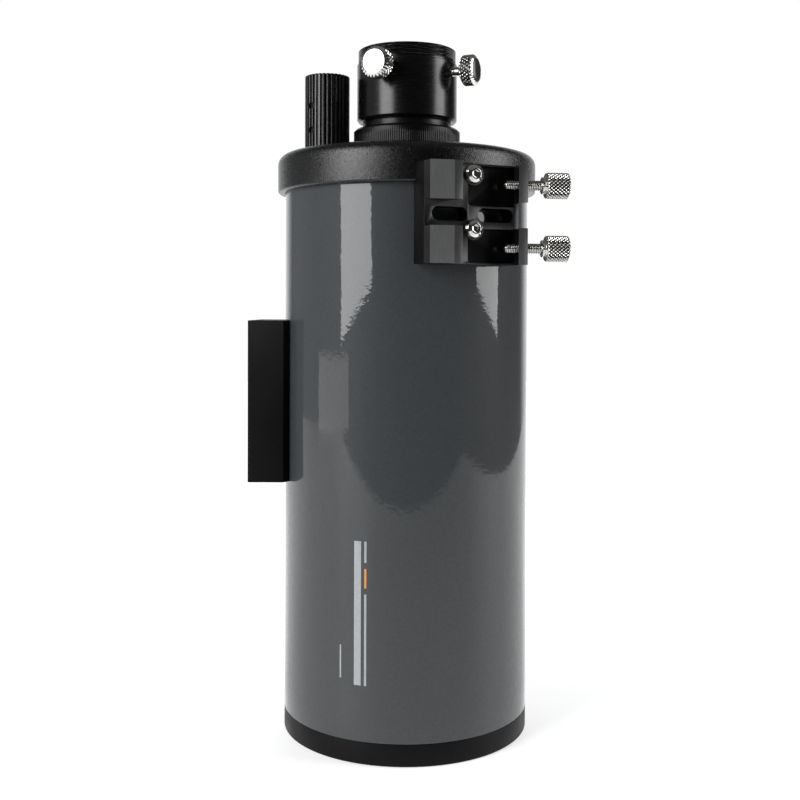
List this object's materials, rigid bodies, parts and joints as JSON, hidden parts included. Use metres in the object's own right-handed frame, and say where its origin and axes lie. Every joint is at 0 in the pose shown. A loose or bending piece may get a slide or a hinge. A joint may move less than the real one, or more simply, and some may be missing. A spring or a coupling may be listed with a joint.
{
  "type": "maksutov telescope",
  "caption": "Compact Maksutov-Cassegrain telescope tube with rear focus knob, eyepiece holder, finder shoe and mounting bar.",
  "frame": {"origin": "centre of the front rim, on the optical axis, where the telescope stands", "axes": "+Z along the optical axis from the front rim to the eyepiece end, -Y towards the side that shows the finder shoe, mounting bar on -X"},
  "size_m": [0.1295, 0.1214, 0.289],
  "materials": {
    "tube_paint": "gloss dark grey enamel",
    "satin_black": "satin black",
    "lens_glass": "polished, coated",
    "mirror_coat": "vacuum aluminised",
    "mirror_glass": "aluminised front, ground edge",
    "flat_black": "matt black",
    "cap_plastic": "moulded, fine grain",
    "cell_paint": "fine textured powder coat",
    "anodised_black": "black anodised, satin",
    "anodised_gloss": "black anodised, polished",
    "knurled_black": "black anodised, straight knurl",
    "shoe_anodised": "dark grey anodised, satin",
    "bar_anodised": "black anodised, fine bead blast",
    "bare_aluminium": "machined",
    "cork": "fine grained",
    "steel": "turned",
    "black_steel": "black oxide",
    "brass": "turned",
    "nylon": "moulded",
    "knob_black": "satin black, fluted",
    "nickel": "bright nickel plate"
  },
  "bodies": {
    "optical_tube": {"tube": "tube_paint", "front_cell": "satin_black", "corrector_lens": "lens_glass", "corrector_ring": "satin_black", "secondary_spot": "mirror_coat", "secondary_baffle": "flat_black", "rear_cell": "cell_paint", "baffle_tube": "flat_black", "port_lock_ring": "anodised_black", "focus_bushing": "brass", "thrust_washers": "nylon", "finder_shoe": "shoe_anodised", "shoe_screws": "nickel", "shoe_nut": "steel", "dovetail_bar": "bar_anodised", "dovetail_screws": "black_steel", "dovetail_nuts": "steel"},
    "focus_drive": {"focus_knob": "knob_black", "focus_sleeve": "brass", "knob_grub_screws": "black_steel"},
    "mirror_carriage": {"primary_mirror": "mirror_glass", "mirror_hub": "bare_aluminium", "mirror_ring": "anodised_black", "mirror_washer": "cork", "focus_rod": "steel", "rod_nut": "steel"},
    "collar": {"collar_ring": "knurled_black"},
    "holder": {"eyepiece_holder": "anodised_gloss", "holder_sleeve": "anodised_black"},
    "front_cap": {"dust_cap": "cap_plastic"},
    "left_screw_shank": {"left_screw_shank": "nickel"},
    "left_screw_head": {"left_screw_head": "nickel"},
    "right_screw_shank": {"right_screw_shank": "nickel"},
    "right_screw_head": {"right_screw_head": "nickel"},
    "upper_clamp_shank": {"upper_clamp_shank": "nickel"},
    "upper_clamp_head": {"upper_clamp_head": "nickel"},
    "lower_clamp_shank": {"lower_clamp_shank": "nickel"},
    "lower_clamp_head": {"lower_clamp_head": "nickel"}
  },
  "joints": [
    {"name": "focus_knob_turn", "type": "hinge", "parent": "optical_tube", "child": "focus_drive", "pos_m": [-0.0344, 0, 0.26], "axis": [0, 0, 1], "range_deg": [-2161, 2521]},
    {"name": "mirror_travel", "type": "slide", "parent": "optical_tube", "child": "mirror_carriage", "axis": [0, 0, 1], "range_m": [-0.007, 0.006]},
    {"name": "collar_turn", "type": "hinge", "parent": "optical_tube", "child": "collar", "pos_m": [0, 0, 0.25], "axis": [0, 0, 1], "range_deg": [0, 120]},
    {"name": "holder_turn", "type": "hinge", "parent": "optical_tube", "child": "holder", "pos_m": [0, 0, 0.27], "axis": [0, 0, 1], "range_deg": [-30, 170]},
    {"name": "dust_cap_pull", "type": "slide", "parent": "optical_tube", "child": "front_cap", "axis": [0, 0, -1], "range_m": [0, 0.025]},
    {"name": "left_screw_travel", "type": "slide", "parent": "holder", "child": "left_screw_shank", "axis": [-0.4226, -0.9063, 0], "range_m": [-0.00386, 0.00281]},
    {"name": "left_screw_turn", "type": "hinge", "parent": "left_screw_shank", "child": "left_screw_head", "pos_m": [-0.01268, -0.02719, 0.2788], "axis": [-0.4226, -0.9063, 0], "range_deg": [-1980, 1440]},
    {"name": "right_screw_travel", "type": "slide", "parent": "holder", "child": "right_screw_shank", "axis": [0.9063, -0.4226, 0], "range_m": [-0.00386, 0.00281]},
    {"name": "right_screw_turn", "type": "hinge", "parent": "right_screw_shank", "child": "right_screw_head", "pos_m": [0.02719, -0.01268, 0.2788], "axis": [0.9063, -0.4226, 0], "range_deg": [-1980, 1440]},
    {"name": "upper_clamp_travel", "type": "slide", "parent": "optical_tube", "child": "upper_clamp_shank", "axis": [0.9909, 0.1349, 0], "range_m": [-0.00281, 0.00421]},
    {"name": "upper_clamp_turn", "type": "hinge", "parent": "upper_clamp_shank", "child": "upper_clamp_head", "pos_m": [0.05738, -0.04562, 0.2266], "axis": [0.9909, 0.1349, 0], "range_deg": [-1440, 2160]},
    {"name": "lower_clamp_travel", "type": "slide", "parent": "optical_tube", "child": "lower_clamp_shank", "axis": [0.9909, 0.1349, 0], "range_m": [-0.00281, 0.00421]},
    {"name": "lower_clamp_turn", "type": "hinge", "parent": "lower_clamp_shank", "child": "lower_clamp_head", "pos_m": [0.05738, -0.04562, 0.202], "axis": [0.9909, 0.1349, 0], "range_deg": [-1440, 2160]}
  ],
  "couplings": [
    {"joint": "focus_knob_turn", "follows": "mirror_travel", "rad_per_m": -6283.2},
    {"joint": "left_screw_travel", "follows": "left_screw_turn", "m_per_rad": 0.00011141},
    {"joint": "right_screw_travel", "follows": "right_screw_turn", "m_per_rad": 0.00011141},
    {"joint": "upper_clamp_travel", "follows": "upper_clamp_turn", "m_per_rad": 0.00011141},
    {"joint": "lower_clamp_travel", "follows": "lower_clamp_turn", "m_per_rad": 0.00011141}
  ]
}
